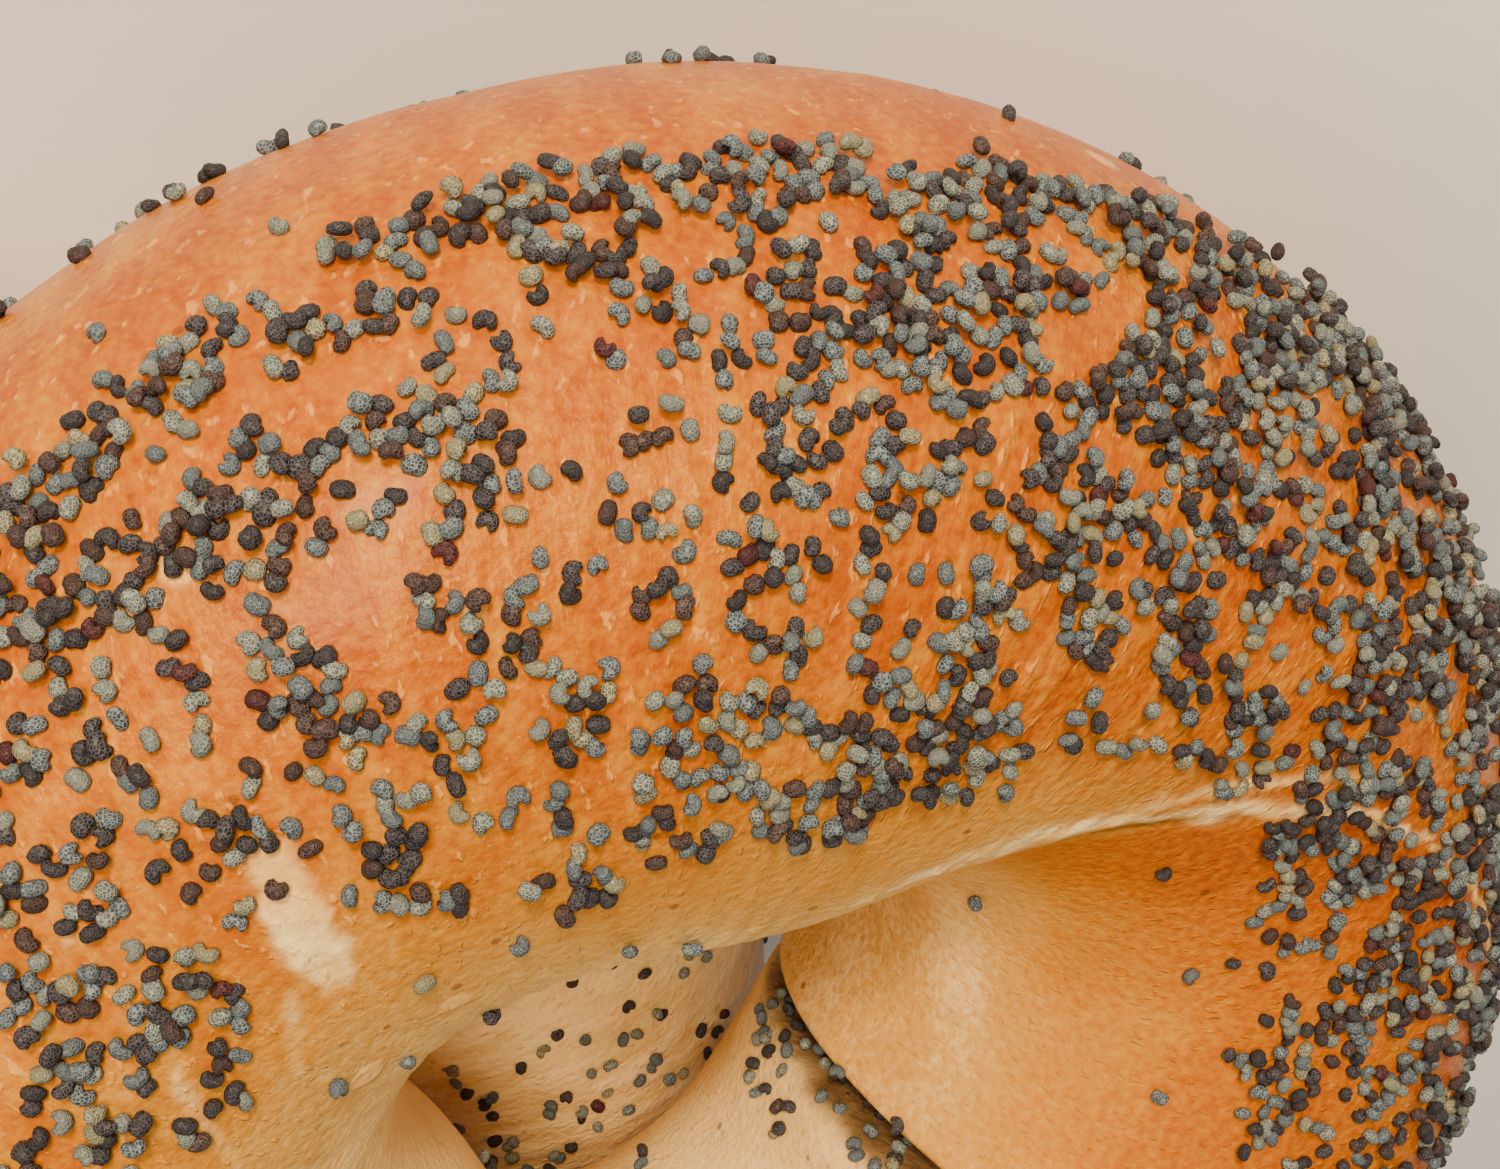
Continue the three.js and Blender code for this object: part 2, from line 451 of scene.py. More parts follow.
def build_crust(bagel):
    """The crust of one bagel, placed so that its box has the CAD node's middle."""
    ring = gathered(RING_CELLS, RING_GATHERED_AT)
    rope = gathered(ROPE_CELLS, ROPE_GATHERED_AT)
    u, v = (a.ravel() for a in np.meshgrid(ring[:-1], rope[:-1], indexing="ij"))
    plain = crust_points(bagel, u, v, 0)
    shifted = plain + np.array(bagel.noise_shift)
    waves = grain_noise(shifted, WAVE_SIZE, 2)
    fine = grain_noise(shifted, FINE_SIZE, 3)
    strings = grain_noise(shifted + 90, STRING_SIZE, 3)
    blobs = grain_noise(shifted + 200, BLOB_SIZE, 2)
    torn = torn_dough(bagel, u, v, waves, fine)
    relief = seam_relief(bagel, u, v) + fold_relief(bagel, u, v)
    relief = relief + fine_relief(bagel, u, v, shifted, torn)
    local = crust_points(bagel, u, v, relief)
    turned = local @ np.array(TURNS[bagel.name]).T * MM
    middle = (turned.min(0) + turned.max(0)) / 2
    placed = turned + np.array(box_middle(bagel.node)) - middle
    placed[:, 2] = np.maximum(placed[:, 2], 0)
    faces = grid_faces(RING_CELLS, ROPE_CELLS)
    mesh = mesh_from_grid(bagel.name + "_crust", placed, faces, grid_map(ring, rope))
    add_mask(mesh, "browned", browning(bagel, u, v, waves))
    add_mask(mesh, "torn", torn)
    add_mask(mesh, "sprinkle", sprinkling(bagel, u, v, waves, strings, blobs))
    add_mask(mesh, "streaked", streaking(bagel, u, v))
    # Where shade is painted: down in the fold and under the seam's lip.
    add_mask(mesh, "crease", creases(bagel, u, v, fine))
    add_mask(mesh, "seam_side", beside_seam(bagel, u, v))
    piece = bpy.data.objects.new(bagel.name + "_crust", mesh)
    bpy.context.scene.collection.objects.link(piece)
    piece["middle_shift"] = (np.array(box_middle(bagel.node)) - middle).tolist()
    size = [round(d, 4) for d in np.ptp(placed, 0)]
    print(piece.name, "has", len(mesh.polygons), "faces and is", size, "m")
    return piece


crusts = {bagel.name: build_crust(bagel) for bagel in (UPPER, LOWER)}

# %% [markdown]
# Seeds are rubbed off where the bagels press on each other and on the table, so the sprinkle mask
# is wiped there.

# %% Wipe the seeds where surfaces meet
CLEARANCE = 1.5
CLEARANCE_FADE = 0.3


def vertex_places(piece):
    """The places of a piece's vertices, one row each."""
    places = np.empty(len(piece.data.vertices) * 3, np.float32)
    piece.data.vertices.foreach_get("co", places)
    return places.reshape(-1, 3)


def wipe_near(piece, other):
    """Clears the sprinkle mask within CLEARANCE of the other crust and of the table."""
    tree = KDTree(len(other.data.vertices))
    for index, place in enumerate(vertex_places(other)):
        tree.insert(place, index)
    tree.balance()
    places = vertex_places(piece)
    gaps = np.array([tree.find(place)[2] for place in places]) / MM
    gaps = np.minimum(gaps, places[:, 2] / MM)
    layer = piece.data.attributes["sprinkle"].data
    amounts = np.empty(len(places), np.float32)
    layer.foreach_get("value", amounts)
    wiped = amounts * smooth_step(CLEARANCE, CLEARANCE + CLEARANCE_FADE, gaps)
    layer.foreach_set("value", wiped.astype(np.float32))
    print(piece.name, "wiped at", int((gaps < CLEARANCE).sum()), "places")


wipe_near(crusts["upper"], crusts["lower"])
wipe_near(crusts["lower"], crusts["upper"])

# %% [markdown]
# ## Effects that several finishes share
# A shader node group is a small tool built once and used by many materials. These give only masks
# and values: streaks of stretched dough, blisters, specks, and the net of ridges on a seed.

# %% Helpers for shader groups


def srgb(red, green, blue):
    """A colour given as on a screen, from 0 to 255, as the linear values that shaders use."""
    def linear(c):
        c = c / 255
        return c / 12.92 if c <= 0.04045 else ((c + 0.055) / 1.055) ** 2.4
    return (linear(red), linear(green), linear(blue), 1.0)


def new_group(name, inputs, outputs):
    """A shader node group with float inputs given as name: default."""
    group = bpy.data.node_groups.new(name, "ShaderNodeTree")
    for label, default in inputs.items():
        socket = group.interface.new_socket(label, in_out="INPUT", socket_type="NodeSocketFloat")
        socket.default_value = default
    for label in outputs:
        group.interface.new_socket(label, in_out="OUTPUT", socket_type="NodeSocketFloat")
    return group, group.nodes.new("NodeGroupInput"), group.nodes.new("NodeGroupOutput")


def node(tree, kind, **settings):
    """A new node; settings are its properties, and links or values for its inputs."""
    made = tree.nodes.new(kind)
    for key, value in settings.items():
        if key.startswith("in_"):
            plug(tree, made.inputs[int(key[3:])], value)
        else:
            setattr(made, key, value)
    return made


def plug(tree, socket, value):
    """Links a socket to an input, or sets the input's value."""
    if isinstance(value, bpy.types.NodeSocket):
        tree.links.new(value, socket)
    else:
        socket.default_value = value


def maths(tree, operation, a, b):
    return node(tree, "ShaderNodeMath", operation=operation, in_0=a, in_1=b).outputs[0]


def times(tree, a, b):
    return maths(tree, "MULTIPLY", a, b)


def plus(tree, a, b):
    return maths(tree, "ADD", a, b)


def minus(tree, a, b):
    return maths(tree, "SUBTRACT", a, b)


def fade(tree, value, low, high):
    """A smooth step of value from low to high."""
    kind = "ShaderNodeMapRange"
    return node(tree, kind, interpolation_type="SMOOTHSTEP", in_0=value, in_1=low, in_2=high).outputs[0]


# %% Streaks of stretched dough
def make_streaks():
    """Short pale dashes that lie along the stretch of the dough, on its flat map."""
    inputs = {"Scale": 30.0, "Slant": 0.6}
    tree, given, result = new_group("StretchedDough", inputs, ["Streaks", "Flecks"])
    flat = node(tree, "ShaderNodeUVMap", uv_map="dough_map")
    turn = node(tree, "ShaderNodeVectorRotate", rotation_type="Z_AXIS")
    plug(tree, turn.inputs["Vector"], flat.outputs[0])
    plug(tree, turn.inputs["Angle"], given.outputs["Slant"])
    long_way = node(tree, "ShaderNodeMapping")
    long_way.inputs["Scale"].default_value = (1.0, 0.24, 1.0)
    plug(tree, long_way.inputs["Vector"], turn.outputs[0])
    soft = node(tree, "ShaderNodeTexNoise")
    plug(tree, soft.inputs["Vector"], long_way.outputs[0])
    plug(tree, soft.inputs["Scale"], times(tree, given.outputs["Scale"], 0.35))
    soft.inputs["Detail"].default_value = 4.0
    flake_way = node(tree, "ShaderNodeMapping")
    flake_way.inputs["Scale"].default_value = (1.0, 0.45, 1.0)
    plug(tree, flake_way.inputs["Vector"], turn.outputs[0])
    sharp = node(tree, "ShaderNodeTexNoise")
    plug(tree, sharp.inputs["Vector"], flake_way.outputs[0])
    plug(tree, sharp.inputs["Scale"], given.outputs["Scale"])
    sharp.inputs["Detail"].default_value = 2.0
    plug(tree, result.inputs["Streaks"], fade(tree, soft.outputs["Fac"], 0.38, 0.66))
    plug(tree, result.inputs["Flecks"], fade(tree, sharp.outputs["Fac"], 0.60, 0.70))
    return tree


# %% Blisters and specks
def make_blisters():
    """Round blisters on a few of the cells of a Voronoi pattern, and darker specks on others."""
    inputs = {"Scale": 260.0, "Amount": 0.2}
    tree, given, result = new_group("BlistersAndSpecks", inputs, ["Blisters", "Specks"])
    place = node(tree, "ShaderNodeTexCoord")
    cells = node(tree, "ShaderNodeTexVoronoi")
    plug(tree, cells.inputs["Vector"], place.outputs["Object"])
    plug(tree, cells.inputs["Scale"], given.outputs["Scale"])
    lot = node(tree, "ShaderNodeSeparateColor", in_0=cells.outputs["Color"])
    chosen = maths(tree, "LESS_THAN", lot.outputs[0], given.outputs["Amount"])
    size = times(tree, lot.outputs[1], 0.2)
    near = minus(tree, plus(tree, size, 0.1), cells.outputs["Distance"])
    plug(tree, result.inputs["Blisters"], times(tree, fade(tree, near, 0.0, 0.1), chosen))
    dots = node(tree, "ShaderNodeTexVoronoi")
    plug(tree, dots.inputs["Vector"], place.outputs["Object"])
    plug(tree, dots.inputs["Scale"], times(tree, given.outputs["Scale"], 3.0))
    dot_lot = node(tree, "ShaderNodeSeparateColor", in_0=dots.outputs["Color"])
    rare = maths(tree, "LESS_THAN", dot_lot.outputs[0], 0.03)
    tiny = minus(tree, 0.22, dots.outputs["Distance"])
    plug(tree, result.inputs["Specks"], times(tree, fade(tree, tiny, 0.0, 0.08), rare))
    return tree


# %% The net on a seed
def make_net():
    """The raised net of a poppy seed's coat, and a slower blotch over it."""
    tree, given, result = new_group("SeedNet", {"Cell": 6200.0}, ["Net", "Blotch"])
    place = node(tree, "ShaderNodeTexCoord")
    cells = node(tree, "ShaderNodeTexVoronoi", feature="DISTANCE_TO_EDGE")
    plug(tree, cells.inputs["Vector"], place.outputs["Object"])
    plug(tree, cells.inputs["Scale"], given.outputs["Cell"])
    hollow = fade(tree, cells.outputs["Distance"], 0.03, 0.24)
    plug(tree, result.inputs["Net"], minus(tree, 1.0, hollow))
    cloud = node(tree, "ShaderNodeTexNoise")
    plug(tree, cloud.inputs["Vector"], place.outputs["Object"])
    plug(tree, cloud.inputs["Scale"], times(tree, given.outputs["Cell"], 0.3))
    plug(tree, result.inputs["Blotch"], cloud.outputs["Fac"])
    return tree


STREAKS = make_streaks()
BLISTERS = make_blisters()
NET = make_net()
print("shader groups:", STREAKS.name, BLISTERS.name, NET.name)

# %% [markdown]
# ## The crust's finish
# A bagel is boiled before it is baked, which gives it a tight, glossy skin. The skin browns on the
# outside, and stays pale in the hole and where dough tore open. So the colour is a ramp over the
# browning mask, broken up by streaks, flecks and blisters, floury dough is laid over it, and painted
# shade goes into the fold and under the seam's lip last.

# %% Helpers for materials


def group_node(tree, group, **values):
    """One of the groups above, placed in a material with its own values."""
    made = tree.nodes.new("ShaderNodeGroup")
    made.node_tree = group
    for label, value in values.items():
        plug(tree, made.inputs[label], value)
    return made


def mix_colour(tree, factor, a, b):
    """Colour a where the factor is 0, and colour b where it is 1."""
    made = tree.nodes.new("ShaderNodeMix")
    made.data_type = "RGBA"
    plug(tree, made.inputs[0], factor)
    plug(tree, made.inputs[6], a)
    plug(tree, made.inputs[7], b)
    return made.outputs[2]


def mask_node(tree, name):
    """A number stored on the mesh."""
    return node(tree, "ShaderNodeAttribute", attribute_name=name).outputs["Fac"]


def cloud_node(tree, scale, detail):
    """Noise on the piece's own coordinates, with scale lumps to the metre."""
    place = node(tree, "ShaderNodeTexCoord")
    cloud = node(tree, "ShaderNodeTexNoise")
    plug(tree, cloud.inputs["Vector"], place.outputs["Object"])
    cloud.inputs["Scale"].default_value = scale
    cloud.inputs["Detail"].default_value = detail
    return cloud.outputs["Fac"]


def colour_ramp(tree, factor, stops):
    """A colour looked up along a row of stops."""
    ramp = tree.nodes.new("ShaderNodeValToRGB")
    band = ramp.color_ramp
    for _ in stops[2:]:
        band.elements.new(0.5)
    for element, (position, colour) in zip(band.elements, stops):
        element.position = position
        element.color = colour
    plug(tree, ramp.inputs[0], factor)
    return ramp.outputs[0]


# %% The crust's colour
FLECK = srgb(246, 172, 84)
BLISTER = srgb(250, 190, 110)
SPECK = srgb(110, 50, 20)
FLOUR_SHADE = srgb(236, 184, 108)
FLOUR = srgb(255, 226, 160)
# Painted shade for the fold and the seam's lip.
CREASE_SHADE = srgb(66, 30, 12)


def browning_level(tree, cloud, grit, streaks):
    """Where on the ramp of crust colours each spot is: 0 pale, 1 brown."""
    browned = mask_node(tree, "browned")
    drift = times(tree, minus(tree, cloud, 0.5), 0.4)
    streaky = times(tree, minus(tree, 0.5, streaks), 0.2)
    streaky = times(tree, streaky, mask_node(tree, "streaked"))
    level = plus(tree, plus(tree, times(tree, browned, 0.8), drift), streaky)
    level = plus(tree, level, times(tree, mask_node(tree, "seam_side"), 0.14))
    mottle = times(tree, minus(tree, grit, 0.5), 0.8)
    mottle = times(tree, mottle, plus(tree, 0.3, times(tree, browned, 0.7)))
    return plus(tree, level, mottle)


def crust_colour(tree, level, stops, stretched, blisters):
    """The skin with its flecks, blisters and specks, then floury dough, then painted shade in the fold
    and under the seam's lip.
    """
    skin = colour_ramp(tree, level, stops)
    flecks = times(tree, mask_node(tree, "streaked"), 0.42)
    flecks = times(tree, stretched.outputs["Flecks"], flecks)
    skin = mix_colour(tree, flecks, skin, FLECK)
    skin = mix_colour(tree, times(tree, blisters.outputs["Blisters"], 0.6), skin, BLISTER)
    skin = mix_colour(tree, times(tree, blisters.outputs["Specks"], 0.7), skin, SPECK)
    floury = mix_colour(tree, stretched.outputs["Streaks"], FLOUR_SHADE, FLOUR)
    colour = mix_colour(tree, mask_node(tree, "torn"), skin, floury)
    # Painted shade: the fold and the seam's lip are darkened in colour.
    return mix_colour(tree, times(tree, mask_node(tree, "crease"), 0.9), colour, CREASE_SHADE)


# %% The crust's dents
DENT_DEPTH = 0.16 * MM
DENT_STRENGTH = 0.75


def crust_dents(tree, grit, stretched, blisters):
    """Bumps too fine for the mesh: streaks, flecks, blisters and grit."""
    height = times(tree, times(tree, stretched.outputs["Streaks"], 0.8), mask_node(tree, "streaked"))
    height = plus(tree, height, times(tree, stretched.outputs["Flecks"], 0.5))
    height = plus(tree, height, blisters.outputs["Blisters"])
    height = plus(tree, height, times(tree, grit, 1.2))
    dents = node(tree, "ShaderNodeBump")
    dents.inputs["Strength"].default_value = DENT_STRENGTH
    dents.inputs["Distance"].default_value = DENT_DEPTH
    plug(tree, dents.inputs["Height"], height)
    return dents.outputs[0]


# %% Crust material
def crust_material(name, stops):
    """A baked crust: glossy skin, dull where it is floury, with a little light inside it."""
    material = bpy.data.materials.new(name)
    material.use_nodes = True
    tree = material.node_tree
    shader = tree.nodes["Principled BSDF"]
    stretched = group_node(tree, STREAKS, Scale=20.0, Slant=0.25)
    blisters = group_node(tree, BLISTERS, Scale=240.0, Amount=0.09)
    cloud = cloud_node(tree, 160.0, 5.0)
    grit = cloud_node(tree, 2000.0, 3.0)
    torn = mask_node(tree, "torn")
    level = browning_level(tree, cloud, grit, stretched.outputs["Streaks"])
    colour = crust_colour(tree, level, stops, stretched, blisters)
    plug(tree, shader.inputs["Base Color"], colour)
    rough = plus(tree, plus(tree, 0.3, times(tree, cloud, 0.16)), times(tree, torn, 0.3))
    plug(tree, shader.inputs["Roughness"], rough)
    plug(tree, shader.inputs["Coat Weight"], times(tree, minus(tree, 1.0, torn), 0.06))
    shader.inputs["Coat Roughness"].default_value = 0.22
    shader.inputs["Subsurface Weight"].default_value = 0.12
    shader.inputs["Subsurface Radius"].default_value = (1.0, 0.6, 0.3)
    shader.inputs["Subsurface Scale"].default_value = MM
    shader.inputs["Specular IOR Level"].default_value = 0.22
    shader.inputs["Specular Tint"].default_value = (1.0, 0.65, 0.3, 1.0)
    plug(tree, shader.inputs["Normal"], crust_dents(tree, grit, stretched, blisters))
    return material


GOLDEN_STOPS = [
    (0.0, (0.90, 0.60, 0.24, 1.0)),
    (0.25, (0.60, 0.30, 0.06, 1.0)),
    (0.48, (0.54, 0.21, 0.013, 1.0)),
    (0.74, (0.46, 0.122, 0.001, 1.0)),
    (1.0, (0.35, 0.062, 0.0003, 1.0)),
]
PALE_STOPS = [
    (0.0, (0.95, 0.68, 0.30, 1.0)),
    (0.35, (0.68, 0.38, 0.10, 1.0)),
    (0.6, (0.50, 0.19, 0.014, 1.0)),
    (0.8, (0.46, 0.12, 0.0015, 1.0)),
    (1.0, (0.42, 0.09, 0.0005, 1.0)),
]
crusts["upper"].data.materials.append(crust_material("golden_crust_finish", GOLDEN_STOPS))
crusts["lower"].data.materials.append(crust_material("pale_crust_finish", PALE_STOPS))
print("crust finishes made")

# %% [markdown]
# ## One poppy seed
# A poppy seed is a kidney about a millimetre long, with a notch in one side. Thousands are
# needed, so each has only a few dozen faces: rings round the long axis, with the middle ring pushed
# in on one side for the notch, and the ends bent towards it. Three shapes keep them from looking alike.

# %% Seed shapes
SEED_LENGTH = 0.99
SEED_WIDTH = 0.85
SEED_THICKNESS = 0.71
SEED_SIDES = 8
SEED_RINGS = 6


def seed_mesh(name, notch, bend, plump):
    """A seed centred on the origin, longest along X, flat on XY, with its notch towards -Y."""
    points = [(1.0, 0.0, 0.0)]
    for k in range(1, SEED_RINGS):
        along = math.cos(math.pi * k / SEED_RINGS)
        wide = math.sin(math.pi * k / SEED_RINGS) ** plump
        for s in range(SEED_SIDES):
            angle = 2 * math.pi * s / SEED_SIDES
            across = wide * math.cos(angle)
            if across < 0:
                across *= 1 - notch * max(0.0, 1 - 2 * abs(along))
            points.append((along, across, wide * math.sin(angle)))
    points.append((-1.0, 0.0, 0.0))
    size = np.array([SEED_LENGTH, SEED_WIDTH, SEED_THICKNESS]) * MM / 2
    bent = [(x, y - bend * x * x + bend / 2, z) for x, y, z in points]
    faces = [(0, 1 + s, 1 + (s + 1) % SEED_SIDES) for s in range(SEED_SIDES)]
    for k in range(SEED_RINGS - 2):
        for s in range(SEED_SIDES):
            a = 1 + k * SEED_SIDES + s
            b = 1 + k * SEED_SIDES + (s + 1) % SEED_SIDES
            faces.append((a, a + SEED_SIDES, b + SEED_SIDES, b))
    last = len(points) - 1
    ring = last - SEED_SIDES
    faces += [(last, ring + (s + 1) % SEED_SIDES, ring + s) for s in range(SEED_SIDES)]
    mesh = bpy.data.meshes.new(name)
    mesh.from_pydata((np.array(bent) * size).tolist(), [], faces)
    return mesh


# Each shape's name, notch, bend and plumpness.
SEED_SHAPES = [("kidney", 0.6, 0.2, 0.72), ("bean", 0.35, 0.14, 0.8), ("round_seed", 0.15, 0.03, 0.68)]
seed_box = bpy.data.collections.new("seed_shapes")
for label, notch, bend, plump in SEED_SHAPES:
    seed_box.objects.link(bpy.data.objects.new(label, seed_mesh(label, notch, bend, plump)))

# %% [markdown]
# ## Seed finishes
# Blue poppy seed is never one colour: most seeds are slate grey, many are charcoal or umber, and a
# few are cream. Each kind is a material made by one function. The net of ridges is painted paler
# than the hollows, as painted glints on the ridges and painted shade in the hollows, and a number
# stored on every seed shifts its shade.

# %% Seed materials
NET_CELLS = 6400.0
NET_DEPTH = 0.05 * MM


def seed_material(name, hollow, ridge, shift):
    """A dull seed coat: hollows darkened as painted shade, ridges paled as painted glints, and a shift of
    shade from seed to seed.
    """
    material = bpy.data.materials.new(name)
    material.use_nodes = True
    tree = material.node_tree
    shader = tree.nodes["Principled BSDF"]
    coat = group_node(tree, NET, Cell=NET_CELLS)
    # Painted shade and painted glints: the net darkens the hollows and pales the ridges, over the seed's
    # own tone.
    colour = mix_colour(tree, times(tree, coat.outputs["Net"], 0.75), hollow, ridge)
    colour = mix_colour(tree, mask_node(tree, "shade"), colour, shift)
    colour = mix_colour(tree, times(tree, coat.outputs["Blotch"], 0.25), colour, hollow)
    plug(tree, shader.inputs["Base Color"], colour)
    rough = plus(tree, 0.5, times(tree, coat.outputs["Blotch"], 0.25))
    plug(tree, shader.inputs["Roughness"], rough)
    shader.inputs["Specular IOR Level"].default_value = 0.35
    ridges = node(tree, "ShaderNodeBump")
    ridges.inputs["Strength"].default_value = 0.9
    ridges.inputs["Distance"].default_value = NET_DEPTH
    plug(tree, ridges.inputs["Height"], coat.outputs["Net"])
    plug(tree, shader.inputs["Normal"], ridges.outputs[0])
    return material


# Each finish: the hollow colour carries painted shade and the ridge colour painted glints, both over the
# seed's own tone, then the shifted tone.
SEED_FINISHES = {
    "slate": seed_material("slate_seed", srgb(44, 50, 56), srgb(142, 152, 156), srgb(78, 86, 92)),
    "pewter": seed_material("pewter_seed", srgb(66, 70, 66), srgb(170, 174, 162), srgb(108, 112, 106)),
    "charcoal": seed_material("charcoal_seed", srgb(15, 13, 17), srgb(96, 90, 96), srgb(34, 30, 34)),
    "umber": seed_material("umber_seed", srgb(28, 18, 20), srgb(104, 82, 78), srgb(50, 34, 34)),
    "cream": seed_material("cream_seed", srgb(84, 80, 62), srgb(182, 174, 142), srgb(122, 116, 92)),
    "wine": seed_material("wine_seed", srgb(36, 11, 15), srgb(104, 56, 58), srgb(58, 22, 26)),
}
TONE_SHARES = {
    "slate": 0.27, "pewter": 0.18, "charcoal": 0.33, "umber": 0.13, "cream": 0.075, "wine": 0.015,
}
print("seed finishes:", list(SEED_FINISHES))

# %% [markdown]
# ## Sprinkling the seeds
# A node tree scatters points over the crust, more where the sprinkle mask is high, and puts a seed on
# each. The points never come closer than about two thirds of a seed's width, so seeds that crowd
# press into each other a little, but never share one place. Every seed lies along the crust, turned
# at random. A lot drawn for each point says which tone it is, and the tree keeps one tone at a time,
# so that each tone is one piece.

# %% The sprinkling tree
# How a seed may lean and turn, in radians, and how large it may be beside the usual seed.
LEAN_FROM = (-0.9, -0.6, 0.0)
LEAN_TO = (0.9, 0.6, 6.283)
SMALLEST = (0.84, 0.84, 0.84)
LARGEST = (1.1, 1.12, 1.15)

# How high its middle lies over the crust, and how seeds pile up where they are crowded.
LIFT_FROM = 0.14 * MM
LIFT_TO = 0.4 * MM
CROWDED = 0.6
PILED_SHARE = 0.3
PILE_HEIGHT = 0.5 * MM
LARGEST_SHADE = 0.75


def random_value(tree, kind, low, high, seed):
    """A random number or vector for each point, always the same for the same seed."""
    made = tree.nodes.new("FunctionNodeRandomValue")
    made.data_type = kind
    sockets = [s for s in made.inputs if s.enabled]
    plug(tree, sockets[0], low)
    plug(tree, sockets[1], high)
    made.inputs["Seed"].default_value = seed
    return [s for s in made.outputs if s.enabled][0]


def compare(tree, operation, a, b):
    """True or false for each point."""
    return node(tree, "FunctionNodeCompare", operation=operation, in_0=a, in_1=b).outputs[0]


def tree_with_sockets():
    """The empty tree, with its inputs in the order that the modifier shows them."""
    tree = bpy.data.node_groups.new("SprinkleSeeds", "GeometryNodeTree")
    sockets = [
        ("Crust", "NodeSocketGeometry"),
        ("Seed shapes", "NodeSocketCollection"),
        ("Finish", "NodeSocketMaterial"),
        ("Spacing", "NodeSocketFloat"),
        ("Most per square metre", "NodeSocketFloat"),
        ("Lot from", "NodeSocketFloat"),
        ("Lot to", "NodeSocketFloat"),
        ("Draw", "NodeSocketInt"),
    ]
    for label, kind in sockets:
        tree.interface.new_socket(label, in_out="INPUT", socket_type=kind)
    tree.interface.new_socket("Seeds", in_out="OUTPUT", socket_type="NodeSocketGeometry")
    return tree


# %% The tree's steps


def scatter_points(tree, given, mask):
    """Points on the crust, thick where the sprinkle mask is high."""
    scatter = tree.nodes.new("GeometryNodeDistributePointsOnFaces")
    scatter.distribute_method = "POISSON"
    plug(tree, scatter.inputs["Mesh"], given.outputs["Crust"])
    plug(tree, scatter.inputs["Distance Min"], given.outputs["Spacing"])
    plug(tree, scatter.inputs["Density Max"], given.outputs["Most per square metre"])
    plug(tree, scatter.inputs["Density Factor"], mask)
    plug(tree, scatter.inputs["Seed"], given.outputs["Draw"])
    return scatter


def in_this_tone(tree, given):
    """True for the points whose lot falls in the tone's share."""
    lot = random_value(tree, "FLOAT", 0.0, 1.0, 11)
    above = compare(tree, "GREATER_EQUAL", lot, given.outputs["Lot from"])
    under = compare(tree, "LESS_THAN", lot, given.outputs["Lot to"])
    both = node(tree, "FunctionNodeBooleanMath", operation="AND", in_0=above, in_1=under)
    return both.outputs[0]


def leaning_turn(tree, scatter):
    """Each seed lies along the crust, turned any way and leaning a little."""
    lean = random_value(tree, "FLOAT_VECTOR", LEAN_FROM, LEAN_TO, 23)
    lean_turn = node(tree, "FunctionNodeEulerToRotation", in_0=lean)
    turn = node(tree, "FunctionNodeRotateRotation", rotation_space="LOCAL")
    plug(tree, turn.inputs[0], scatter.outputs["Rotation"])
    plug(tree, turn.inputs[1], lean_turn.outputs[0])
    return turn.outputs[0]


def lifted_points(tree, scatter, mask):
    """The points moved off the crust to the seeds' middles, and higher in a pile."""
    lift = random_value(tree, "FLOAT", LIFT_FROM, LIFT_TO, 37)
    crowded = compare(tree, "GREATER_THAN", mask, CROWDED)
    piled = compare(tree, "LESS_THAN", random_value(tree, "FLOAT", 0.0, 1.0, 43), PILED_SHARE)
    lift = plus(tree, lift, times(tree, times(tree, crowded, piled), PILE_HEIGHT))
    raised = node(tree, "ShaderNodeVectorMath", operation="SCALE")
    plug(tree, raised.inputs[0], scatter.outputs["Normal"])
    plug(tree, raised.inputs["Scale"], lift)
    moved = node(tree, "GeometryNodeSetPosition")
    plug(tree, moved.inputs["Geometry"], scatter.outputs["Points"])
    plug(tree, moved.inputs["Offset"], raised.outputs[0])
    return moved.outputs[0]


def seeds_on_points(tree, given, points, chosen, turn):
    """One of the seed shapes on each chosen point, in a size and shade of its own."""
    shapes = tree.nodes.new("GeometryNodeCollectionInfo")
    shapes.inputs["Separate Children"].default_value = True
    shapes.inputs["Reset Children"].default_value = True
    plug(tree, shapes.inputs["Collection"], given.outputs["Seed shapes"])
    place = tree.nodes.new("GeometryNodeInstanceOnPoints")
    plug(tree, place.inputs["Points"], points)
    plug(tree, place.inputs["Selection"], chosen)
    plug(tree, place.inputs["Instance"], shapes.outputs[0])
    place.inputs["Pick Instance"].default_value = True
    shape_number = random_value(tree, "INT", 0, len(SEED_SHAPES) - 1, 41)
    plug(tree, place.inputs["Instance Index"], shape_number)
    plug(tree, place.inputs["Rotation"], turn)
    plug(tree, place.inputs["Scale"], random_value(tree, "FLOAT_VECTOR", SMALLEST, LARGEST, 53))
    shade = tree.nodes.new("GeometryNodeStoreNamedAttribute")
    shade.domain = "INSTANCE"
    shade.inputs["Name"].default_value = "shade"
    plug(tree, shade.inputs["Geometry"], place.outputs[0])
    plug(tree, shade.inputs["Value"], random_value(tree, "FLOAT", 0.0, LARGEST_SHADE, 61))
    return shade.outputs[0]


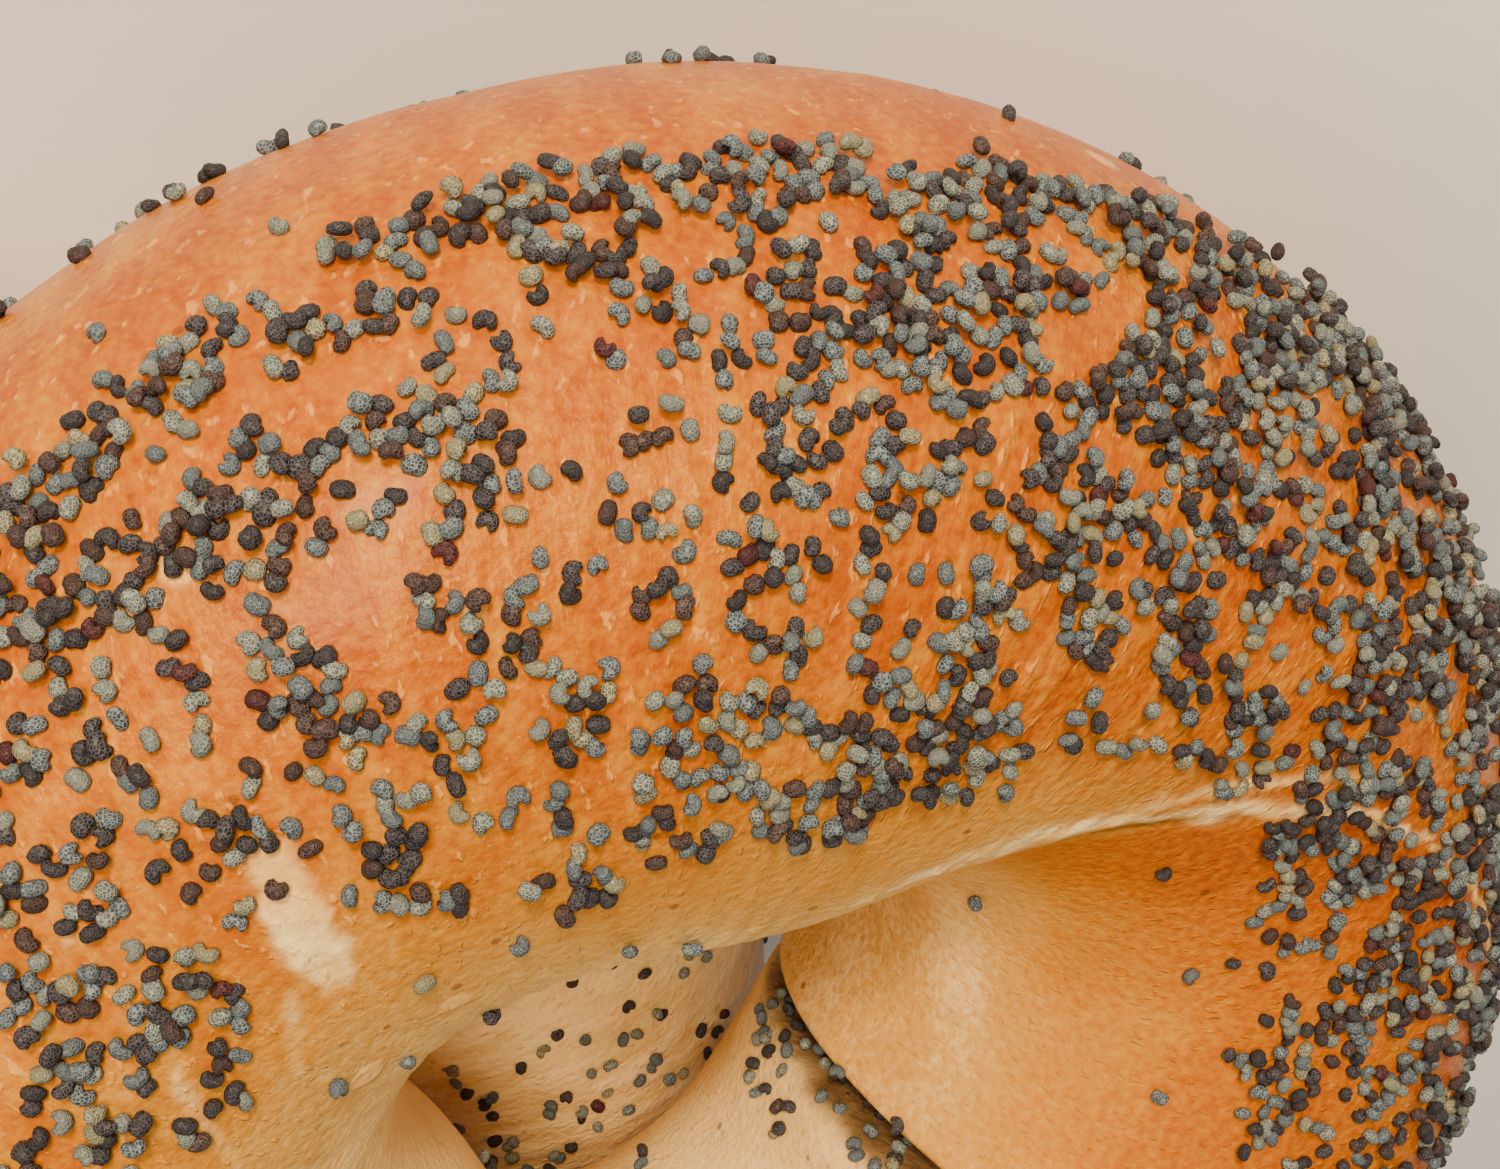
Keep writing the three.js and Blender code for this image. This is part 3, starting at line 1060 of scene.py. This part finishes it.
def sprinkle_tree():
    """The whole tree: scatter, lift, place seeds, make them real and give them their finish."""
    tree = tree_with_sockets()
    given = tree.nodes.new("NodeGroupInput")
    result = tree.nodes.new("NodeGroupOutput")
    mask = tree.nodes.new("GeometryNodeInputNamedAttribute")
    mask.inputs["Name"].default_value = "sprinkle"
    sprinkled = mask.outputs["Attribute"]
    scatter = scatter_points(tree, given, sprinkled)
    points = lifted_points(tree, scatter, sprinkled)
    turn = leaning_turn(tree, scatter)
    seeds = seeds_on_points(tree, given, points, in_this_tone(tree, given), turn)
    real = node(tree, "GeometryNodeRealizeInstances", in_0=seeds)
    smooth = node(tree, "GeometryNodeSetShadeSmooth", in_0=real.outputs[0])
    finish = tree.nodes.new("GeometryNodeSetMaterial")
    plug(tree, finish.inputs["Geometry"], smooth.outputs[0])
    plug(tree, finish.inputs["Material"], given.outputs["Finish"])
    plug(tree, result.inputs["Seeds"], finish.outputs[0])
    return tree


SPRINKLE = sprinkle_tree()
SOCKETS = {s.name: s.identifier for s in SPRINKLE.interface.items_tree if s.in_out == "INPUT"}
print("sprinkling tree has", len(SPRINKLE.nodes), "nodes")

# %% Sprinkle both bagels
SEED_SPACING = 0.54
MOST_PER_MM2 = 3.6
DRAWS = {"upper": 5, "lower": 8}


def sprinkle(bagel, tone, low, high):
    """One tone of one bagel's seeds, as a plain mesh."""
    crust = crusts[bagel.name]
    carrier = bpy.data.objects.new("carrier", crust.data)
    bpy.context.scene.collection.objects.link(carrier)
    modifier = carrier.modifiers.new("sprinkle", "NODES")
    modifier.node_group = SPRINKLE
    values = {
        "Seed shapes": seed_box,
        "Finish": SEED_FINISHES[tone],
        "Spacing": SEED_SPACING * MM,
        "Most per square metre": MOST_PER_MM2 / MM**2,
        "Lot from": low,
        "Lot to": high,
        "Draw": DRAWS[bagel.name],
    }
    for label, value in values.items():
        modifier[SOCKETS[label]] = value
    depsgraph = bpy.context.evaluated_depsgraph_get()
    mesh = bpy.data.meshes.new_from_object(carrier.evaluated_get(depsgraph), depsgraph=depsgraph)
    bpy.data.objects.remove(carrier)
    piece = bpy.data.objects.new(f"{bagel.name}_{tone}_seeds", mesh)
    bpy.context.scene.collection.objects.link(piece)
    return piece


seed_pieces = []
for bagel in (UPPER, LOWER):
    low = 0.0
    for tone, share in TONE_SHARES.items():
        seed_pieces.append(sprinkle(bagel, tone, low, low + share))
        low += share

# %% [markdown]
# ## The single seeds
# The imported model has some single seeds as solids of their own. Each is replaced by a fine kidney
# at the nearest corner of the fine crust's grid, pressed a little into the crust.

# %% Replace the single seeds
PRESSED_MIDDLE = 0.25 * MM
TURN_EACH = 2.4


def single_seeds(bagel):
    """All the single seeds of one bagel as one piece, and the nodes that they stand for."""
    crust = crusts[bagel.name].data
    tree = KDTree(len(crust.vertices))
    for index, vertex in enumerate(crust.vertices):
        tree.insert(vertex.co, index)
    tree.balance()
    names = sorted(n for n in frame["nodes"] if n.startswith(bagel.name + "_seed_"))
    shape = seed_box.objects[0].data
    corners = np.array([v.co for v in shape.vertices])
    faces = [tuple(p.vertices) for p in shape.polygons]
    points, all_faces, shades = [], [], []
    for number, name in enumerate(names):
        foot, index, _ = tree.find(box_middle(name))
        outward = crust.vertices[index].normal
        turn = outward.to_track_quat("Z", "Y").to_matrix() @ Matrix.Rotation(TURN_EACH * number, 3, "Z")
        middle = np.array(foot + outward * PRESSED_MIDDLE)
        start = len(corners) * number
        points.append(corners @ np.array(turn).T + middle)
        all_faces += [tuple(start + c for c in face) for face in faces]
        shades += [(number % 7) / 9] * len(corners)
    mesh = bpy.data.meshes.new(bagel.name + "_single_seeds")
    mesh.from_pydata(np.concatenate(points).tolist(), [], all_faces)
    mesh.polygons.foreach_set("use_smooth", np.ones(len(all_faces), bool))
    add_mask(mesh, "shade", np.array(shades))
    mesh.materials.append(SEED_FINISHES["slate"])
    piece = bpy.data.objects.new(bagel.name + "_single_seeds", mesh)
    bpy.context.scene.collection.objects.link(piece)
    print(piece.name, "stands for", len(names), "nodes")
    return piece, names


single_pieces = [single_seeds(bagel) for bagel in (UPPER, LOWER)]

# %% [markdown]
# ## Tie the pieces to the frame
# Every piece rides on the one body, and the solids that the fine crusts and seeds stand for are hidden.

# %% Ride and replace
for bagel in (UPPER, LOWER):
    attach(crusts[bagel.name], "root")
    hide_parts(bagel.node)
for piece in seed_pieces:
    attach(piece, "root")
for piece, names in single_pieces:
    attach(piece, "root")
    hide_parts(*names)
print("pieces on the frame:", 2 + len(seed_pieces) + len(single_pieces))

# %% [markdown]
# ## Floor, light and camera
# The bagels stand on a pale floor under soft light. The camera is close, above the side of the
# leaning bagel, and its place is said in that bagel's own frame, so that it follows the bagel.

# %% Camera
LENS = 52.8
EYE = Vector((-43.7, 76.8, 87.5))
LOOK = Vector((0.4207, -0.4454, -0.7903))
VIEW_UP = Vector((0.10, 0.889, -0.448))


def in_world(bagel_name, place):
    """A place in a bagel's own frame, in millimetres, as a place in the world."""
    return TURNS[bagel_name] @ place * MM + Vector(crusts[bagel_name]["middle_shift"])


eye = in_world("upper", EYE)
backward = -(TURNS["upper"] @ LOOK).normalized()
right = (TURNS["upper"] @ VIEW_UP).cross(backward).normalized()
upward = backward.cross(right)
view = Matrix((right, upward, backward)).transposed().to_4x4()
camera_data = bpy.data.cameras.new("camera")
camera_data.lens = LENS
camera_data.clip_start = 0.005
camera = bpy.data.objects.new("camera", camera_data)
camera.matrix_world = Matrix.Translation(eye) @ view
bpy.context.scene.collection.objects.link(camera)
bpy.context.scene.camera = camera
print("camera at", [round(c, 3) for c in eye])

# %% Floor and lights


def area_light(name, toward, distance, size, power, colour):
    """A round soft light in a direction seen from the leaning bagel's middle."""
    data = bpy.data.lights.new(name, "AREA")
    data.shape = "DISK"
    data.size = size
    data.energy = power
    data.color = colour
    light = bpy.data.objects.new(name, data)
    aim = box_middle("upper_bagel")
    light.location = aim + toward.normalized() * distance
    light.rotation_euler = toward.to_track_quat("Z", "Y").to_euler()
    bpy.context.scene.collection.objects.link(light)


FLOOR_HALF = 2.0
floor_mesh = bpy.data.meshes.new("floor")
signs = [(-1, -1), (1, -1), (1, 1), (-1, 1)]
corners = [(x * FLOOR_HALF, y * FLOOR_HALF, 0) for x, y in signs]
floor_mesh.from_pydata(corners, [], [(0, 1, 2, 3)])
floor = bpy.data.objects.new("floor", floor_mesh)
bpy.context.scene.collection.objects.link(floor)
floor_finish = bpy.data.materials.new("pale_floor")
floor_finish.use_nodes = True
floor_shader = floor_finish.node_tree.nodes["Principled BSDF"]
floor_shader.inputs["Base Color"].default_value = srgb(236, 234, 230)
floor_shader.inputs["Roughness"].default_value = 0.8
floor_mesh.materials.append(floor_finish)

key_way = right * 0.02 + upward * 0.36 + backward
area_light("key", key_way, 0.5, 0.09, 3.2, (1.0, 0.84, 0.58))
area_light("front", upward * 0.04 + backward, 0.5, 0.14, 2.0, (1.0, 0.86, 0.62))
area_light("fill", Vector((0.2, -0.3, 1.0)), 0.9, 0.8, 2.2, (1.0, 0.93, 0.82))
world = bpy.data.worlds.new("studio")
world.use_nodes = True
sky = world.node_tree.nodes["Background"]
sky.inputs["Color"].default_value = (1.0, 0.98, 0.95, 1.0)
sky.inputs["Strength"].default_value = 0.26
bpy.context.scene.world = world
print("floor, lights and world made")
